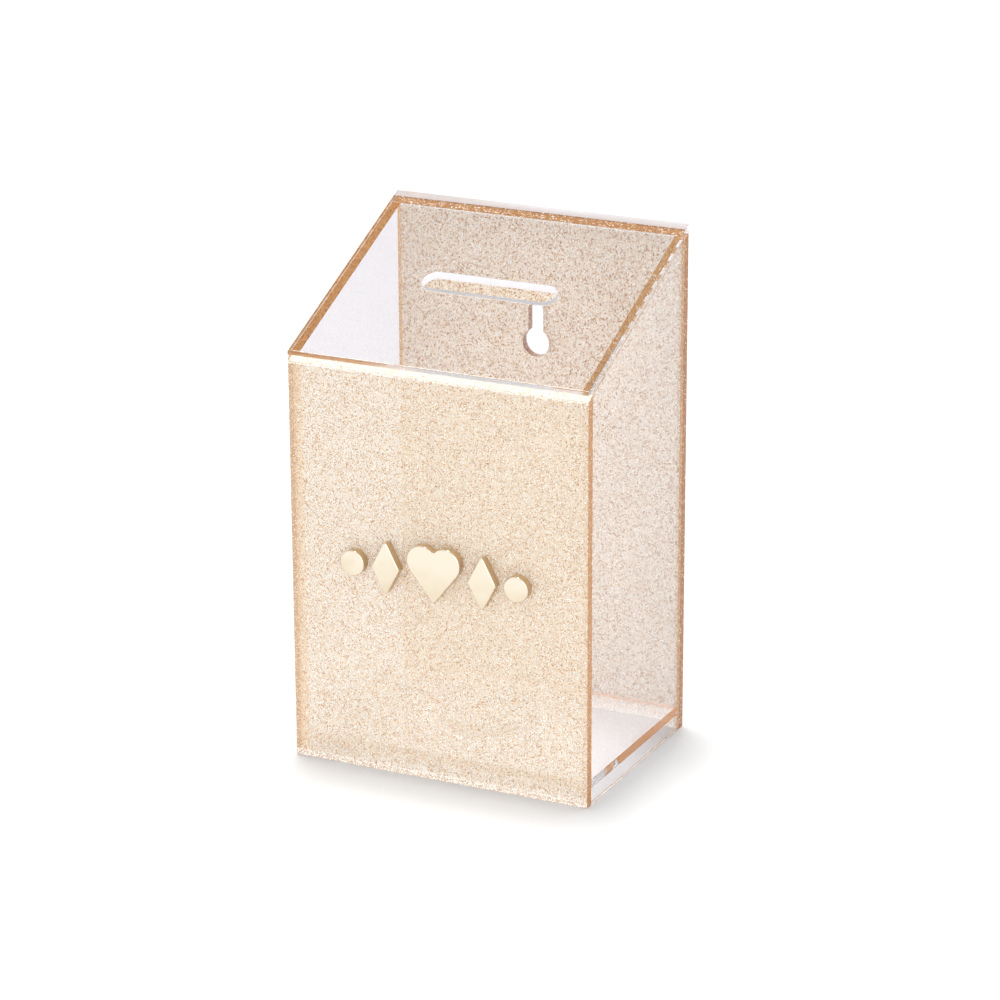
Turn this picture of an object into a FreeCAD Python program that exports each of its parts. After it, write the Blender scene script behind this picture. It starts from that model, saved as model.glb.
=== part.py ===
import FreeCAD, Part
import math
import os

# A wall or table donation box of welded sheet acrylic: glitter front and back, clear sides,
# a clear sloped lid with a coin slot, and a raised clear base with a push-in stopper.
# Millimetres. +Z is up and the front faces -Y.
# The origin is the middle of the box's footprint on the table.

# Outer box
BOX_WIDTH = 100.0
BOX_DEPTH = 73.0
BOX_HEIGHT = 165.0
LID_SLOPE_DEGREES = 24.5

# Sheets
FRONT_THICKNESS = 3.0
BACK_THICKNESS = 3.0
SIDE_THICKNESS = 3.0
LID_THICKNESS = 3.0
BASE_THICKNESS = 3.0
BASE_LIFT = 4.5

# Coin slot, in the middle of the lid
COIN_SLOT_LENGTH = 45.0
COIN_SLOT_WIDTH = 7.8

# Keyhole in the back panel: a round entry for the screw's head, and a neck above it for the shank
KEYHOLE_ENTRY_DIAMETER = 9.0
KEYHOLE_ENTRY_BELOW_TOP = 44.5
KEYHOLE_NECK_WIDTH = 5.0
KEYHOLE_NECK_RISE = 10.5

# Stopper in the middle of the base
STOPPER_HOLE_DIAMETER = 32.0
STOPPER_CLEARANCE = 0.1
STOPPER_FLANGE_OVERLAP = 3.0
STOPPER_FLANGE_THICKNESS = 1.6
STOPPER_NOSE_HEIGHT = 4.0
STOPPER_NOSE_TAPER = 1.4
STOPPER_NOSE_ROUND = 0.8
STOPPER_TAB_WIDTH = 12.0
STOPPER_TAB_REACH = 8.0

# Raised ornaments in a row across the front
ORNAMENT_THICKNESS = 3.0
ORNAMENT_GAP = 2.6
ORNAMENT_ABOVE_MIDDLE = 2.0
ORNAMENT_CORNER_ROUND = 0.8
ORNAMENT_RIM_ROUND = 0.4
HEART_HEIGHT = 18.0
HEART_LOBE_SPREAD = 3.9
HEART_LOBE_SWELL = 1.1
LOZENGE_WIDTH = 9.5
LOZENGE_HEIGHT = 18.0
DISC_DIAMETER = 8.0

# Cutters run this far past the faces that they cut
CUT_MARGIN = 1.0

# Points this close are the same corner
CORNER_MATCH = 0.001

V = FreeCAD.Vector
X_AXIS = V(1, 0, 0)
Y_AXIS = V(0, 1, 0)
SLOPE = math.radians(LID_SLOPE_DEGREES)

# The ornaments stand in front of the front panel, so the panels sit back by half their thickness
FRONT_FACE = (ORNAMENT_THICKNESS - BOX_DEPTH) / 2
BACK_FACE = FRONT_FACE + BOX_DEPTH
FRONT_INNER = FRONT_FACE + FRONT_THICKNESS
BACK_INNER = BACK_FACE - BACK_THICKNESS
SIDE_FACE = BOX_WIDTH / 2
SIDE_INNER = SIDE_FACE - SIDE_THICKNESS
BASE_MIDDLE = (FRONT_INNER + BACK_INNER) / 2
BASE_TOP = BASE_LIFT + BASE_THICKNESS


def lid_top(y):
    """Height of the lid's upper face at depth y."""
    return BOX_HEIGHT - (BACK_FACE - y) * math.tan(SLOPE)


def lid_under(y):
    """Height of the lid's lower face, which the walls' tops follow, at depth y."""
    return lid_top(y) - LID_THICKNESS / math.cos(SLOPE)


def prism_along_x(outline, x_start, x_end):
    """Solid with a closed (y, z) outline, from x_start to x_end."""
    points = [V(x_start, y, z) for y, z in outline]
    face = Part.Face(Part.makePolygon(points + points[:1]))
    return face.extrude(V(x_end - x_start, 0, 0))


def wall(y_start, y_end, x_start, x_end):
    """Upright sheet from the table to the lid's underside."""
    outline = [
        (y_start, 0),
        (y_end, 0),
        (y_end, lid_under(y_end)),
        (y_start, lid_under(y_start)),
    ]
    return prism_along_x(outline, x_start, x_end)


def stadium(length, width):
    """Flat face with two straight sides along X and round ends, about the origin."""
    radius = width / 2
    reach = length / 2 - radius
    edges = [
        Part.LineSegment(V(-reach, -radius, 0), V(reach, -radius, 0)).toShape(),
        Part.Arc(V(reach, -radius, 0), V(reach + radius, 0, 0), V(reach, radius, 0)).toShape(),
        Part.LineSegment(V(reach, radius, 0), V(-reach, radius, 0)).toShape(),
        Part.Arc(V(-reach, radius, 0), V(-reach - radius, 0, 0), V(-reach, -radius, 0)).toShape(),
    ]
    return Part.Face(Part.Wire(edges))


def sloped_lid():
    """Lid with upright ends flush with the front and back, and a coin slot square to its faces."""
    outline = [
        (FRONT_FACE, lid_under(FRONT_FACE)),
        (BACK_FACE, lid_under(BACK_FACE)),
        (BACK_FACE, lid_top(BACK_FACE)),
        (FRONT_FACE, lid_top(FRONT_FACE)),
    ]
    sheet = prism_along_x(outline, -SIDE_FACE, SIDE_FACE)
    cutter_depth = LID_THICKNESS + 2 * CUT_MARGIN
    cutter = stadium(COIN_SLOT_LENGTH, COIN_SLOT_WIDTH).extrude(V(0, 0, cutter_depth))
    cutter.translate(V(0, 0, -cutter_depth / 2))
    cutter.rotate(V(0, 0, 0), X_AXIS, LID_SLOPE_DEGREES)
    middle = (FRONT_FACE + BACK_FACE) / 2
    cutter.translate(V(0, middle, (lid_top(middle) + lid_under(middle)) / 2))
    return sheet.cut(cutter)


def back_panel():
    """Back sheet with the keyhole cut through it."""
    sheet = wall(BACK_INNER, BACK_FACE, -SIDE_FACE, SIDE_FACE)
    entry_height = BOX_HEIGHT - KEYHOLE_ENTRY_BELOW_TOP
    cutter_start = BACK_INNER - CUT_MARGIN
    cutter_depth = BACK_THICKNESS + 2 * CUT_MARGIN
    half_neck = KEYHOLE_NECK_WIDTH / 2
    entry = Part.makeCylinder(
        KEYHOLE_ENTRY_DIAMETER / 2, cutter_depth, V(0, cutter_start, entry_height), Y_AXIS
    )
    neck = Part.makeBox(
        KEYHOLE_NECK_WIDTH, cutter_depth, KEYHOLE_NECK_RISE, V(-half_neck, cutter_start, entry_height)
    )
    neck_end = Part.makeCylinder(
        half_neck, cutter_depth, V(0, cutter_start, entry_height + KEYHOLE_NECK_RISE), Y_AXIS
    )
    return sheet.cut(entry.fuse([neck, neck_end]).removeSplitter())


def base_plate():
    """Raised floor of the coin chamber, with the round hole for emptying it."""
    sheet = Part.makeBox(
        2 * SIDE_INNER,
        BACK_INNER - FRONT_INNER,
        BASE_THICKNESS,
        V(-SIDE_INNER, FRONT_INNER, BASE_LIFT),
    )
    hole = Part.makeCylinder(
        STOPPER_HOLE_DIAMETER / 2,
        BASE_THICKNESS + 2 * CUT_MARGIN,
        V(0, BASE_MIDDLE, BASE_LIFT - CUT_MARGIN),
    )
    return sheet.cut(hole)


def base_stopper():
    """Soft stopper: a flange under the base, a neck through its hole, a tapered nose and a pull tab."""
    centre = V(0, BASE_MIDDLE, 0)
    neck_radius = STOPPER_HOLE_DIAMETER / 2 - STOPPER_CLEARANCE
    flange_radius = STOPPER_HOLE_DIAMETER / 2 + STOPPER_FLANGE_OVERLAP
    flange_bottom = BASE_LIFT - STOPPER_FLANGE_THICKNESS
    flange = Part.makeCylinder(
        flange_radius, STOPPER_FLANGE_THICKNESS, centre + V(0, 0, flange_bottom)
    )
    tab_length = flange_radius + STOPPER_TAB_REACH
    tab = stadium(2 * tab_length, STOPPER_TAB_WIDTH).extrude(V(0, 0, STOPPER_FLANGE_THICKNESS))
    tab.translate(centre + V(0, 0, flange_bottom))
    other_half = Part.makeBox(
        tab_length, STOPPER_TAB_WIDTH, STOPPER_FLANGE_THICKNESS,
        centre + V(0, -STOPPER_TAB_WIDTH / 2, flange_bottom),
    )
    neck = Part.makeCylinder(neck_radius, BASE_THICKNESS, centre + V(0, 0, BASE_LIFT))
    nose = Part.makeCone(
        neck_radius, neck_radius - STOPPER_NOSE_TAPER, STOPPER_NOSE_HEIGHT, centre + V(0, 0, BASE_TOP)
    )
    nose_tip = [
        edge for edge in nose.Edges
        if edge.BoundBox.ZMin > BASE_TOP + STOPPER_NOSE_HEIGHT / 2 and edge.Closed
    ]
    nose = nose.makeFillet(STOPPER_NOSE_ROUND, nose_tip)
    return flange.fuse([tab.cut(other_half), neck, nose]).removeSplitter()


def ornament(face, corners=()):
    """Plate on the front panel, from a face about the row's middle height and its sharp corners."""
    plate = face.extrude(V(0, -ORNAMENT_THICKNESS, 0))
    sharp = [edge for edge in plate.Edges if any(runs_back_from(edge, corner) for corner in corners)]
    if sharp:
        plate = plate.makeFillet(ORNAMENT_CORNER_ROUND, sharp)
    rim = [edge for edge in plate.Edges if edge.BoundBox.YMax < -ORNAMENT_THICKNESS / 2]
    plate = plate.makeFillet(ORNAMENT_RIM_ROUND, rim)
    front_middle = lid_top(FRONT_FACE) / 2
    plate.translate(V(0, FRONT_FACE, front_middle + ORNAMENT_ABOVE_MIDDLE))
    return plate


def runs_back_from(edge, corner):
    """Whether an edge joins a corner of an ornament's front to the same corner of its back."""
    ends = [vertex.Point for vertex in edge.Vertexes]
    return all(math.hypot(end.x - corner.x, end.z - corner.z) < CORNER_MATCH for end in ends)


def heart_face():
    """Heart of two round lobes and two straight sides at a tangent to them, and its sharp corners."""
    lobe_radius = HEART_LOBE_SPREAD + HEART_LOBE_SWELL
    lobe_height = HEART_HEIGHT / 2 - lobe_radius
    tip = V(0, 0, -HEART_HEIGHT / 2)
    tip_distance = math.hypot(HEART_LOBE_SPREAD, lobe_height - tip.z)
    tip_angle = math.atan2(tip.z - lobe_height, -HEART_LOBE_SPREAD)
    side_angle = tip_angle + math.acos(lobe_radius / tip_distance)
    cleft_angle = math.acos(-HEART_LOBE_SPREAD / lobe_radius)

    def lobe_point(side, angle):
        x = HEART_LOBE_SPREAD + lobe_radius * math.cos(angle)
        return V(side * x, 0, lobe_height + lobe_radius * math.sin(angle))

    cleft = lobe_point(1, cleft_angle)
    halfway = (side_angle + cleft_angle) / 2
    edges = [
        Part.LineSegment(tip, lobe_point(1, side_angle)).toShape(),
        Part.Arc(lobe_point(1, side_angle), lobe_point(1, halfway), cleft).toShape(),
        Part.Arc(cleft, lobe_point(-1, halfway), lobe_point(-1, side_angle)).toShape(),
        Part.LineSegment(lobe_point(-1, side_angle), tip).toShape(),
    ]
    return Part.Face(Part.Wire(edges)), [tip, cleft]


def lozenge_face(x):
    """Upright lozenge about x, and its corners."""
    half_width = LOZENGE_WIDTH / 2
    half_height = LOZENGE_HEIGHT / 2
    points = [
        V(x, 0, -half_height),
        V(x + half_width, 0, 0),
        V(x, 0, half_height),
        V(x - half_width, 0, 0),
    ]
    return Part.Face(Part.makePolygon(points + points[:1])), points


def disc_face(x):
    """Round disc about x."""
    return Part.Face(Part.Wire(Part.makeCircle(DISC_DIAMETER / 2, V(x, 0, 0), Y_AXIS)))


def ornaments():
    """The row's five plates: a heart in the middle, then a lozenge and a disc on each side."""
    heart_half_width = 2 * HEART_LOBE_SPREAD + HEART_LOBE_SWELL
    lozenge_x = heart_half_width + ORNAMENT_GAP + LOZENGE_WIDTH / 2
    disc_x = lozenge_x + LOZENGE_WIDTH / 2 + ORNAMENT_GAP + DISC_DIAMETER / 2
    return {
        "heart_ornament": ornament(*heart_face()),
        "left_lozenge_ornament": ornament(*lozenge_face(-lozenge_x)),
        "right_lozenge_ornament": ornament(*lozenge_face(lozenge_x)),
        "left_disc_ornament": ornament(disc_face(-disc_x)),
        "right_disc_ornament": ornament(disc_face(disc_x)),
    }


def pieces():
    """Every piece of the box, by name."""
    box = {
        "front_panel": wall(FRONT_FACE, FRONT_INNER, -SIDE_FACE, SIDE_FACE),
        "back_panel": back_panel(),
        "left_side_panel": wall(FRONT_INNER, BACK_INNER, -SIDE_FACE, -SIDE_INNER),
        "right_side_panel": wall(FRONT_INNER, BACK_INNER, SIDE_INNER, SIDE_FACE),
        "sloped_lid": sloped_lid(),
        "base_plate": base_plate(),
        "base_stopper": base_stopper(),
    }
    box.update(ornaments())
    return box


os.makedirs("parts", exist_ok=True)
for name, shape in pieces().items():
    shape.exportStep(f"parts/{name}.step")
    box = shape.BoundBox
    print(
        f"{name}: solids {len(shape.Solids)}, valid {shape.isValid()}, volume {shape.Volume:.1f} mm3, "
        f"X {box.XMin:.2f} to {box.XMax:.2f}, Y {box.YMin:.2f} to {box.YMax:.2f}, "
        f"Z {box.ZMin:.2f} to {box.ZMax:.2f}"
    )
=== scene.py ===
import math

import bmesh
import bpy
from bpy.props import FloatProperty, FloatVectorProperty, PointerProperty
from mathutils import Matrix, Vector


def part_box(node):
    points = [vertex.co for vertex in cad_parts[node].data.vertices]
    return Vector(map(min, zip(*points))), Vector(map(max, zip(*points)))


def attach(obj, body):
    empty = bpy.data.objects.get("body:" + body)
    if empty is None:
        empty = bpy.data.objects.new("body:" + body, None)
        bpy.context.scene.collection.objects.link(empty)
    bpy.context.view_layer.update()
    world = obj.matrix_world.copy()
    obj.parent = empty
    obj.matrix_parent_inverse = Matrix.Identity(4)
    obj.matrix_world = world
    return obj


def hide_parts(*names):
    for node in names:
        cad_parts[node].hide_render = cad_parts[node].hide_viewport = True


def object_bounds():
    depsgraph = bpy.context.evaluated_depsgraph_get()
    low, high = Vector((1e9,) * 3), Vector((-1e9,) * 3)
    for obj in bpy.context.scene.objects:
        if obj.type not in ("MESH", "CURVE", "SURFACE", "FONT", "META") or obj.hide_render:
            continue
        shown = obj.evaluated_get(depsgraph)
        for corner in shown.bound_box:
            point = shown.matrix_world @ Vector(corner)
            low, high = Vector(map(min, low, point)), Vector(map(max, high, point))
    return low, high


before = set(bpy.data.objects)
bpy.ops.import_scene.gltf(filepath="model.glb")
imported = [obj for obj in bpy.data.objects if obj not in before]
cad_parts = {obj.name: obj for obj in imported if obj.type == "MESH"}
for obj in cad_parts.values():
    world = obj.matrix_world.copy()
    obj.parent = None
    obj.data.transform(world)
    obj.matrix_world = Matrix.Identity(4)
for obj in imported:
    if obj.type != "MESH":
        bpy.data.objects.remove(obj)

bl_info = {
    "name": "Donation box",
    "version": (1, 0, 0),
    "blender": (4, 5, 0),
    "location": "View3D > Sidebar > Donation box",
    "description": "Glitter and clear sheets, gold ornaments, a soft stopper and a studio stage",
    "category": "Object",
}

# The box as it was packed. Metres, +Z up, front towards -Y.
CAD_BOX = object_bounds()
FRONT_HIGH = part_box("front_panel")[1]
BACK_LOW, BACK_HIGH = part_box("back_panel")
LEFT_LOW, LEFT_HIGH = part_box("left_side_panel")
RIGHT_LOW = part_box("right_side_panel")[0]
LID_LOW, LID_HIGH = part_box("sloped_lid")
BASE_LOW, BASE_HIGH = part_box("base_plate")
STOPPER_LOW, STOPPER_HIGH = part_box("base_stopper")
SHEET = BASE_HIGH.z - BASE_LOW.z
LID_MIDDLE = (LID_LOW.y + LID_HIGH.y) / 2
BASE_MIDDLE = (BASE_LOW.y + BASE_HIGH.y) / 2
LID_SLOPE = math.atan2(BACK_HIGH.z - FRONT_HIGH.z, BACK_HIGH.y - FRONT_HIGH.y)
LID_NORMAL = Vector((0, -math.sin(LID_SLOPE), math.cos(LID_SLOPE)))

ORNAMENTS = (
    "heart_ornament",
    "left_lozenge_ornament",
    "right_lozenge_ornament",
    "left_disc_ornament",
    "right_disc_ornament",
)

# Shares of tan, brown and pale flakes on the front, on the back, on a cut edge and in a joint
FRONT_SHARES = (0.42, 0.17, 0.14)
BACK_SHARES = (0.22, 0.53, 0.41)
EDGE_SHARES = (0.20, 0.26, 0.04)
JOINT_SHARES = (0.40, 0.40, 0.12)

# Flakes: how much of its cell one fills, the turns that spread their strengths, the faintest
# strength, and how closely they lie in a joint against the front
FLAKE_FILL = 0.57
FLAKE_TURNS = 23.0
FAINT_FLAKE = 0.5
JOINT_DENSITY = 0.8

# Pale bands of painted light at a glitter sheet's ends: how much narrower the upper one is, and where a band
# has faded
UPPER_BAND = 3.5
BAND_FADE = 1.7

# Tan that the left side's lit weld lends the front, painted light on the left edge only, and how far before
# the side's inner face it fades
LEFT_WELD_TONE = 0.45
LEFT_WELD_REACH = SHEET / 3

# Marks of handling: how scratches lie, and the noise levels where a mark is full and where it ends
SCRATCH_TURN = (0.4, 0.5, 0.7)
SCRATCH_STRETCH = (1.0, 14.0, 1.0)
SMUDGE_LEVELS = (0.62, 0.44)
SCRATCH_LEVELS = (0.72, 0.66)

# Gold plates: where the deeper tone, a painted reflection towards the foot, is full and where it ends, as
# shares of the heart's height
FOOT_REFLECTION_SPAN = (0.4, 1.3)

# Shares of a face's normal along Y under which it is the cut edge of a sheet or the side of a plate
CUT_EDGE_LIMIT = 0.75
PLATE_SIDE_LIMIT = 0.3

ACRYLIC_IOR = 1.49
SOFT_IOR = 1.45
WHITE = (1.0, 1.0, 1.0)
BLACK = (0.0, 0.0, 0.0)

# Lengths that count as nothing, cosines of faces that look along a line or square to it, and a sharp edge
NEAR = 1e-6
CUT_SLACK = 1e-7
ALONG = 0.99
SQUARE = 0.1
SHARP = math.radians(40)

# Steps round the coin slot's ends, the stopper's hole, its flange and its tab
SLOT_STEPS = 24
HOLE_STEPS = 72
FLANGE_STEPS = 90
TAB_STEPS = 24

# Reach of the hole's rims from its middle, as a share of its diameter
HOLE_REACH = 0.6

# Stopper: borders round its two dishes and rounding of its flange, as shares of the tip, tab and flange
NOSE_BORDER = 0.3
UNDER_BORDER = 1 / 6
FLANGE_ROUND = 0.3

# Room between the box's foot and the floor, which keeps their faces apart
FLOOR_DROP = 0.0001

# A clear sheet's materials, by number
(
    CLEAR, LIT_JOINT, SHADED_JOINT, BASE_JOINT, FRONT_JOINT, BACK_JOINT, CLEAR_JOINT,
    SEAM, LID_END, FROSTED, CLEAR_BASE, LID_SIDE, LID_FRONT,
) = range(13)


class GlitterSettings(bpy.types.PropertyGroup):
    """The glitter sheets of the front and back."""

    edge_round: FloatProperty(
        name="Edge round", description="Rounding of a sheet's cut edges", default=0.0002, unit="LENGTH"
    )
    flakes: FloatProperty(
        name="Flakes per metre", description="How closely the flakes lie along a line", default=2800.0
    )
    back_density: FloatProperty(
        name="Back density", description="Flakes along a line in the back, against the front", default=0.72
    )
    clear_share: FloatProperty(
        name="See-through",
        description="Light that passes one face between flakes",
        default=0.55,
        subtype="FACTOR",
    )
    back_clear_share: FloatProperty(
        name="Back see-through",
        description="Light that passes one face of the back between flakes",
        default=0.36,
        subtype="FACTOR",
    )
    # The front's and back's glows are painted glows that fade upwards from the foot
    front_glow: FloatProperty(
        name="Front glow", description="Light that the front gathers from its foot", default=0.06
    )
    front_glow_reach: FloatProperty(
        name="Front glow reach", description="Height where the front's glow ends", default=0.1, unit="LENGTH"
    )
    back_glow: FloatProperty(
        name="Back glow", description="Light that the back gathers from its edges", default=0.135
    )
    back_glow_reach: FloatProperty(
        name="Back glow reach", description="Height where the back's glow ends", default=0.6, unit="LENGTH"
    )
    # The pale bands at the foot and under the lid are painted light, and the rim glow is a painted glow in
    # them
    lit_rim: FloatProperty(
        name="Lit rim", description="Height of the pale band at the foot", default=0.0018, unit="LENGTH"
    )
    rim_glow: FloatProperty(
        name="Rim glow", description="Light that leaves a glitter sheet at its ends", default=0.3
    )
    lamp_share: FloatProperty(
        name="Lamp light through",
        description="Share of lamp light that a sheet scatters to its other side",
        default=0.85,
        subtype="FACTOR",
    )
    ground: FloatVectorProperty(
        name="Ground", description="Sheet between the flakes", default=(0.92, 0.845, 0.73), subtype="COLOR"
    )
    back_ground: FloatVectorProperty(
        name="Back ground",
        description="Back sheet between the flakes",
        default=(1.0, 0.86, 0.69),
        subtype="COLOR",
    )
    tan: FloatVectorProperty(
        name="Tan flakes", description="Most of the flakes", default=(0.78, 0.55, 0.32), subtype="COLOR"
    )
    brown: FloatVectorProperty(
        name="Brown flakes",
        description="Flakes turned from the light",
        default=(0.44, 0.18, 0.035),
        subtype="COLOR",
    )
    pale: FloatVectorProperty(
        name="Pale flakes",
        description="Flakes that catch the light",
        default=(1.0, 0.96, 0.88),
        subtype="COLOR",
    )
    cut_edge: FloatVectorProperty(
        name="Cut edge", description="Sheet seen end-on", default=(0.53, 0.215, 0.045), subtype="COLOR"
    )
    back_cut_edge: FloatVectorProperty(
        name="Back cut edge",
        description="Back sheet seen end-on",
        default=(0.36, 0.115, 0.012),
        subtype="COLOR",
    )
    # Painted light: deep orange for light led through the glitter, at the base's back edge
    joint: FloatVectorProperty(
        name="Joint", description="Glitter seen along the base", default=(0.72, 0.27, 0.05), subtype="COLOR"
    )
    # Painted light and shade: the glitter along the left side is lit, along the right side shaded
    lit_joint: FloatVectorProperty(
        name="Lit joint",
        description="Glitter seen along the left side",
        default=(0.90, 0.58, 0.27),
        subtype="COLOR",
    )
    shaded_joint: FloatVectorProperty(
        name="Shaded joint",
        description="Glitter seen along the right side",
        default=(0.56, 0.29, 0.10),
        subtype="COLOR",
    )
    # Painted shade: the glitter under the lid at the back is darker
    shaded_back_joint: FloatVectorProperty(
        name="Back joint",
        description="Glitter seen under the lid",
        default=(0.37, 0.17, 0.06),
        subtype="COLOR",
    )
    # Painted glow in the welds' own tones
    joint_glow: FloatProperty(
        name="Joint glow", description="Light that a clear sheet gathers to its joints", default=0.42
    )


class ClearSettings(bpy.types.PropertyGroup):
    """The clear sheets of the sides, lid and base."""

    edge_round: FloatProperty(
        name="Edge round", description="Rounding of a sheet's polished edges", default=0.0002, unit="LENGTH"
    )
    weld_film: FloatProperty(
        name="Weld film",
        description="Cement between a clear and a glitter sheet",
        default=0.00003,
        unit="LENGTH",
    )
    slot_length: FloatProperty(
        name="Slot length", description="Coin slot from end to end", default=0.045, unit="LENGTH"
    )
    slot_width: FloatProperty(
        name="Slot width", description="Coin slot across", default=0.0078, unit="LENGTH"
    )
    stopper_hole: FloatProperty(
        name="Stopper hole", description="Diameter of the hole in the base", default=0.032, unit="LENGTH"
    )
    tint: FloatVectorProperty(
        name="Tint",
        description="Colour that a clear sheet gives what is behind it",
        default=(0.91, 0.905, 0.935),
        subtype="COLOR",
    )
    base_tint: FloatVectorProperty(
        name="Base tint",
        description="Colour that the base gives what is behind it",
        default=(1.0, 0.985, 0.99),
        subtype="COLOR",
    )
    # Painted glow on the base's faces seen from outside
    base_glow: FloatProperty(
        name="Base glow", description="Light that the base gathers from the walls", default=0.19
    )
    # Painted light: a brown tint on the left seam only, for the glitter seen along the side
    painted_seam_tint: FloatVectorProperty(
        name="Seam tint",
        description="Colour of the weld between a side and the lid",
        default=(0.74, 0.54, 0.33),
        subtype="COLOR",
    )
    # Painted shade: the rear end is tinted for the shadow behind the box seen through it
    rear_end_shade: FloatVectorProperty(
        name="End tint",
        description="Colour of the lid's rear end",
        default=(0.76, 0.77, 0.82),
        subtype="COLOR",
    )
    front_end_tint: FloatVectorProperty(
        name="Front end tint",
        description="Colour of the lid's front end",
        default=(0.95, 0.93, 0.91),
        subtype="COLOR",
    )
    side_end_tint: FloatVectorProperty(
        name="Side end tint",
        description="Colour of the lid's left and right ends",
        default=(0.80, 0.76, 0.755),
        subtype="COLOR",
    )
    end_frost: FloatProperty(
        name="End frost",
        description="Roughness of the lid's front and rear ends",
        default=0.35,
        subtype="FACTOR",
    )
    frosted: FloatVectorProperty(
        name="Frosted",
        description="Milled walls of the coin slot",
        default=(0.88, 0.88, 0.92),
        subtype="COLOR",
    )
    # Painted glow of the coin slot's walls
    frosted_glow: FloatProperty(
        name="Frosted glow", description="Light that the coin slot's walls scatter", default=0.16
    )


class OrnamentSettings(bpy.types.PropertyGroup):
    """The raised ornaments."""

    edge_round: FloatProperty(
        name="Edge round", description="Rounding of an ornament's rims", default=0.0003, unit="LENGTH"
    )
    gold: FloatVectorProperty(
        name="Gold", description="Mirror finish", default=(0.87, 0.785, 0.645), subtype="COLOR"
    )
    # Painted reflection: the deeper tone towards a plate's foot
    foot_reflection_gold: FloatVectorProperty(
        name="Deep gold",
        description="Mirror finish towards the foot",
        default=(0.76, 0.655, 0.48),
        subtype="COLOR",
    )
    cut_side: FloatVectorProperty(
        name="Cut side",
        description="Sides of a plate, where it was cut",
        default=(0.50, 0.32, 0.15),
        subtype="COLOR",
    )


class StopperSettings(bpy.types.PropertyGroup):
    """The soft stopper in the base."""

    tab_width: FloatProperty(
        name="Tab width", description="Pull tab across", default=0.012, unit="LENGTH"
    )
    flange: FloatProperty(
        name="Flange", description="Thickness of the flange and the tab", default=0.0016, unit="LENGTH"
    )
    dish: FloatProperty(
        name="Dish", description="Depth of the hollows at both ends", default=0.0005, unit="LENGTH"
    )
    clearance: FloatProperty(
        name="Clearance", description="Room between the neck and its hole", default=0.0001, unit="LENGTH"
    )
    taper: FloatProperty(
        name="Taper", description="How much slimmer the nose is at its end", default=0.0014, unit="LENGTH"
    )
    nose_round: FloatProperty(
        name="Nose round", description="Rounding of the nose's end", default=0.0008, unit="LENGTH"
    )
    cloudy: FloatVectorProperty(
        name="Cloudy", description="Soft plastic", default=(0.93, 0.93, 0.94), subtype="COLOR"
    )


class StageSettings(bpy.types.PropertyGroup):
    """Floor, light and camera."""

    camera_place: FloatVectorProperty(
        name="Camera place",
        description="Where the camera stands",
        default=(0.4797, -0.9760, 0.4530),
        subtype="TRANSLATION",
    )
    camera_turn: FloatProperty(
        name="Camera turn",
        description="Camera's angle round the box",
        default=math.radians(25.98),
        unit="ROTATION",
    )
    camera_tilt: FloatProperty(
        name="Camera tilt", description="Camera's angle down", default=math.radians(18.91), unit="ROTATION"
    )
    camera_roll: FloatProperty(
        name="Camera roll", description="Camera's lean", default=math.radians(-0.24), unit="ROTATION"
    )
    lens: FloatProperty(
        name="Lens", description="Focal length on a 36 mm sensor", default=134.06, unit="CAMERA"
    )
    floor_size: FloatProperty(
        name="Floor size", description="Side of the square floor", default=12.0, unit="LENGTH"
    )
    floor_shade: FloatProperty(
        name="Floor shade",
        description="Share of light that the floor gives back",
        default=0.68,
        subtype="FACTOR",
    )
    world_light: FloatProperty(
        name="Surround", description="Strength of the white surround on the box", default=0.8
    )
    sun_strength: FloatProperty(name="Top light", description="Soft light from above", default=2.8)
    sun_spread: FloatProperty(
        name="Top light spread",
        description="Angle across the light from above",
        default=math.radians(16),
        unit="ROTATION",
    )
    sun_turn: FloatVectorProperty(
        name="Top light turn",
        description="Lean of the light from above",
        default=(math.radians(-5), math.radians(-4), 0.0),
        subtype="EULER",
    )
    fill_power: FloatProperty(
        name="Fill power", description="Soft light from the front", default=6.2, unit="POWER"
    )
    fill_size: FloatProperty(
        name="Fill size", description="Side of the square lamp in front", default=1.4, unit="LENGTH"
    )
    fill_place: FloatVectorProperty(
        name="Fill place",
        description="Where the lamp in front stands",
        default=(0.75, -1.6, 0.35),
        subtype="TRANSLATION",
    )


class DonationBoxSettings(bpy.types.PropertyGroup):
    """Everything that a user may change."""

    glitter: PointerProperty(type=GlitterSettings)
    clear: PointerProperty(type=ClearSettings)
    ornament: PointerProperty(type=OrnamentSettings)
    stopper: PointerProperty(type=StopperSettings)
    stage: PointerProperty(type=StageSettings)


def settings():
    """The scene's donation box settings."""
    return bpy.context.scene.donation_box


def lid_under(y):
    """Height of the lid's lower face at depth y."""
    return BACK_HIGH.z - (BACK_HIGH.y - y) * math.tan(LID_SLOPE)


def lid_top(y):
    """Height of the lid's upper face at depth y."""
    return lid_under(y) + SHEET / math.cos(LID_SLOPE)


def darker(colour, share):
    """A colour with a share of its light."""
    return tuple(channel * share for channel in colour)


# Nodes


def set_inputs(node, values):
    """Sets a node's inputs by name."""
    for name, value in values.items():
        node.inputs[name].default_value = value


def add_node(tree, kind, values=None, **attributes):
    """New node of a kind, with attributes and with values for its inputs by name."""
    node = tree.nodes.new(kind)
    for name, value in attributes.items():
        setattr(node, name, value)
    set_inputs(node, values or {})
    return node


def fill_socket(tree, socket, value):
    """Links another node's output to an input, or sets the input to a number or colour."""
    if isinstance(value, bpy.types.NodeSocket):
        tree.links.new(value, socket)
    elif socket.type == "RGBA":
        socket.default_value = (*value[:3], 1.0)
    else:
        socket.default_value = value


def math_node(tree, operation, *values):
    """Output of a Math node on numbers or other nodes' outputs."""
    node = add_node(tree, "ShaderNodeMath", operation=operation)
    for socket, value in zip(node.inputs, values):
        fill_socket(tree, socket, value)
    return node.outputs[0]


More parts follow.
